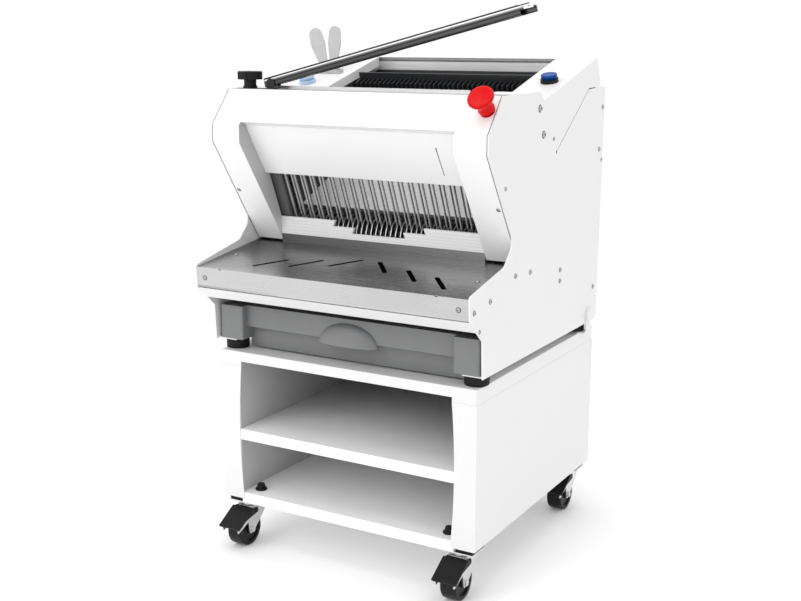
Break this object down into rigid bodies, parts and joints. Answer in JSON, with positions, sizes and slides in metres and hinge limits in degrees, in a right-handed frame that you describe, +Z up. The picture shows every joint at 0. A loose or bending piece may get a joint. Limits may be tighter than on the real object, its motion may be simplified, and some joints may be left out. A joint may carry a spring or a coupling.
{
  "type": "automatic bread slicer",
  "caption": "Bread slicer on a wheeled stand: sloping infeed hopper, reciprocating blade frames, outlet tray, crumb drawer, tilting press bar and braked swivel casters.",
  "frame": {"origin": "on the floor below the middle of the stand", "axes": "+Z up, +X to the right of somebody facing the machine, -Y to the front where the outlet tray is"},
  "size_m": [0.7138, 0.6787, 1.1669],
  "materials": {
    "white_paint": "satin",
    "stainless": "brushed",
    "zinc": "zinc plated",
    "black_plastic": "fine grain",
    "wheel_tread": "smooth",
    "foot_rubber": "matte",
    "drawer_grey": "fine grain",
    "red_plastic": "gloss",
    "blue_plastic": "gloss",
    "pale_blue_plastic": "gloss",
    "blade_steel": "ground",
    "frame_paint": "satin",
    "comb_plastic": "satin",
    "pale_plastic": "satin",
    "motor_paint": "satin",
    "belt_rubber": "matte",
    "cast_parts": "machined",
    "bar_steel": "satin"
  },
  "bodies": {
    "machine": {"stand_top": "white_paint", "stand_side_left": "white_paint", "stand_side_right": "white_paint", "stand_back": "white_paint", "middle_shelf": "white_paint", "bottom_shelf": "white_paint", "caster_mounts": "black_plastic", "caster_plates": "zinc", "side_panel_left": "white_paint", "side_panel_right": "white_paint", "front_cover": "white_paint", "deflector_panel": "white_paint", "hood_left": "white_paint", "hood_right": "white_paint", "rear_panel": "white_paint", "infeed_lining": "stainless", "floor_plate": "white_paint", "front_crossbar": "white_paint", "outlet_tray": "stainless", "housing_screws": "zinc", "machine_feet": "foot_rubber", "frame_guides": "frame_paint", "outlet_bars": "white_paint", "outlet_comb": "comb_plastic", "chute_floor": "stainless", "motor": "motor_paint", "drive_belt": "belt_rubber", "shaft_bearings": "cast_parts", "press_bar_brackets": "bar_steel", "button_collars": "black_plastic", "bagging_paddles": "pale_plastic", "stand_brackets": "white_paint", "cable_gland": "black_plastic"},
    "press_bar": {"press_bar": "bar_steel"},
    "star_knob": {"star_knob": "black_plastic"},
    "emergency_button": {"emergency_button": "red_plastic"},
    "start_button": {"start_button": "blue_plastic"},
    "stop_button": {"stop_button": "pale_blue_plastic"},
    "crumb_drawer": {"crumb_drawer": "drawer_grey"},
    "front_frame": {"front_blade_frame": "frame_paint", "front_blades": "blade_steel"},
    "rear_frame": {"rear_blade_frame": "frame_paint", "rear_blades": "blade_steel"},
    "front_rod": {"connecting_rod_front": "cast_parts"},
    "rear_rod": {"connecting_rod_rear": "cast_parts"},
    "motor_pulley": {"motor_pulley": "cast_parts"},
    "crankshaft": {"crankshaft": "cast_parts"},
    "pusher": {"pusher_comb": "cast_parts"},
    "caster_fork_front_left": {"caster_fork_front_left": "zinc"},
    "caster_wheel_front_left": {"caster_wheel_front_left": "wheel_tread"},
    "caster_pedal_front_left": {"caster_pedal_front_left": "black_plastic"},
    "caster_fork_front_right": {"caster_fork_front_right": "zinc"},
    "caster_wheel_front_right": {"caster_wheel_front_right": "wheel_tread"},
    "caster_pedal_front_right": {"caster_pedal_front_right": "black_plastic"},
    "caster_fork_rear_left": {"caster_fork_rear_left": "zinc"},
    "caster_wheel_rear_left": {"caster_wheel_rear_left": "wheel_tread"},
    "caster_pedal_rear_left": {"caster_pedal_rear_left": "black_plastic"},
    "caster_fork_rear_right": {"caster_fork_rear_right": "zinc"},
    "caster_wheel_rear_right": {"caster_wheel_rear_right": "wheel_tread"},
    "caster_pedal_rear_right": {"caster_pedal_rear_right": "black_plastic"}
  },
  "joints": [
    {"name": "press_bar_tilt", "type": "hinge", "parent": "machine", "child": "press_bar", "pos_m": [-0.222, -0.2125, 1.014], "axis": [0, 1, 0], "range_deg": [0, 13.9]},
    {"name": "star_knob_turn", "type": "hinge", "parent": "machine", "child": "star_knob", "pos_m": [-0.276, -0.2225, 1.015], "axis": [0, 0, 1], "continuous": true},
    {"name": "emergency_push", "type": "slide", "parent": "machine", "child": "emergency_button", "axis": [0, 0.7638, -0.6455], "range_m": [0, 0.004]},
    {"name": "start_push", "type": "slide", "parent": "machine", "child": "start_button", "axis": [0, 0.2726, -0.9621], "range_m": [0, 0.004], "stiffness_N_per_m": 250},
    {"name": "stop_push", "type": "slide", "parent": "machine", "child": "stop_button", "axis": [0, 0.2726, -0.9621], "range_m": [0, 0.004], "stiffness_N_per_m": 250},
    {"name": "crumb_drawer_slide", "type": "slide", "parent": "machine", "child": "crumb_drawer", "axis": [0, -1, 0], "range_m": [0, 0.4]},
    {"name": "front_frame_stroke", "type": "slide", "parent": "machine", "child": "front_frame", "axis": [0, -0.3987, 0.9171], "range_m": [-0.012, 0.012]},
    {"name": "rear_frame_stroke", "type": "slide", "parent": "machine", "child": "rear_frame", "axis": [0, -0.3987, 0.9171], "range_m": [-0.012, 0.012]},
    {"name": "front_rod_swing", "type": "hinge", "parent": "front_frame", "child": "front_rod", "pos_m": [0.099, -0.10435, 0.62721], "axis": [1, 0, 0], "range_deg": [-24, 0]},
    {"name": "rear_rod_swing", "type": "hinge", "parent": "rear_frame", "child": "rear_rod", "pos_m": [-0.099, -0.08142, 0.63718], "axis": [1, 0, 0], "range_deg": [0, 26]},
    {"name": "crank_turn", "type": "hinge", "parent": "machine", "child": "crankshaft", "pos_m": [0, -0.0355, 0.603], "axis": [1, 0, 0], "continuous": true},
    {"name": "motor_turn", "type": "hinge", "parent": "machine", "child": "motor_pulley", "pos_m": [0, 0.1425, 0.625], "axis": [1, 0, 0], "continuous": true},
    {"name": "pusher_slide", "type": "slide", "parent": "machine", "child": "pusher", "axis": [0, -0.9171, -0.3987], "range_m": [0, 0.31]},
    {"name": "swivel_front_left", "type": "hinge", "parent": "machine", "child": "caster_fork_front_left", "pos_m": [-0.265, -0.2725, 0.09], "axis": [0, 0, 1], "continuous": true},
    {"name": "wheel_turn_front_left", "type": "hinge", "parent": "caster_fork_front_left", "child": "caster_wheel_front_left", "pos_m": [-0.265, -0.2975, 0.0375], "axis": [1, 0, 0], "continuous": true},
    {"name": "pedal_front_left", "type": "hinge", "parent": "caster_fork_front_left", "child": "caster_pedal_front_left", "pos_m": [-0.265, -0.2835, 0.078], "axis": [-1, 0, 0], "range_deg": [0, 12]},
    {"name": "swivel_front_right", "type": "hinge", "parent": "machine", "child": "caster_fork_front_right", "pos_m": [0.265, -0.2725, 0.09], "axis": [0, 0, 1], "continuous": true},
    {"name": "wheel_turn_front_right", "type": "hinge", "parent": "caster_fork_front_right", "child": "caster_wheel_front_right", "pos_m": [0.265, -0.2975, 0.0375], "axis": [1, 0, 0], "continuous": true},
    {"name": "pedal_front_right", "type": "hinge", "parent": "caster_fork_front_right", "child": "caster_pedal_front_right", "pos_m": [0.265, -0.2835, 0.078], "axis": [-1, 0, 0], "range_deg": [0, 12]},
    {"name": "swivel_rear_left", "type": "hinge", "parent": "machine", "child": "caster_fork_rear_left", "pos_m": [-0.265, 0.2725, 0.09], "axis": [0, 0, 1], "continuous": true},
    {"name": "wheel_turn_rear_left", "type": "hinge", "parent": "caster_fork_rear_left", "child": "caster_wheel_rear_left", "pos_m": [-0.265, 0.2475, 0.0375], "axis": [1, 0, 0], "continuous": true},
    {"name": "pedal_rear_left", "type": "hinge", "parent": "caster_fork_rear_left", "child": "caster_pedal_rear_left", "pos_m": [-0.265, 0.2615, 0.078], "axis": [-1, 0, 0], "range_deg": [0, 12]},
    {"name": "swivel_rear_right", "type": "hinge", "parent": "machine", "child": "caster_fork_rear_right", "pos_m": [0.265, 0.2725, 0.09], "axis": [0, 0, 1], "continuous": true},
    {"name": "wheel_turn_rear_right", "type": "hinge", "parent": "caster_fork_rear_right", "child": "caster_wheel_rear_right", "pos_m": [0.265, 0.2475, 0.0375], "axis": [1, 0, 0], "continuous": true},
    {"name": "pedal_rear_right", "type": "hinge", "parent": "caster_fork_rear_right", "child": "caster_pedal_rear_right", "pos_m": [0.265, 0.2615, 0.078], "axis": [-1, 0, 0], "range_deg": [0, 12]}
  ],
  "couplings": [
    {"joint": "rear_frame_stroke", "follows": "front_frame_stroke", "ratio": -1},
    {"joint": "motor_turn", "follows": "crank_turn", "ratio": 2}
  ]
}
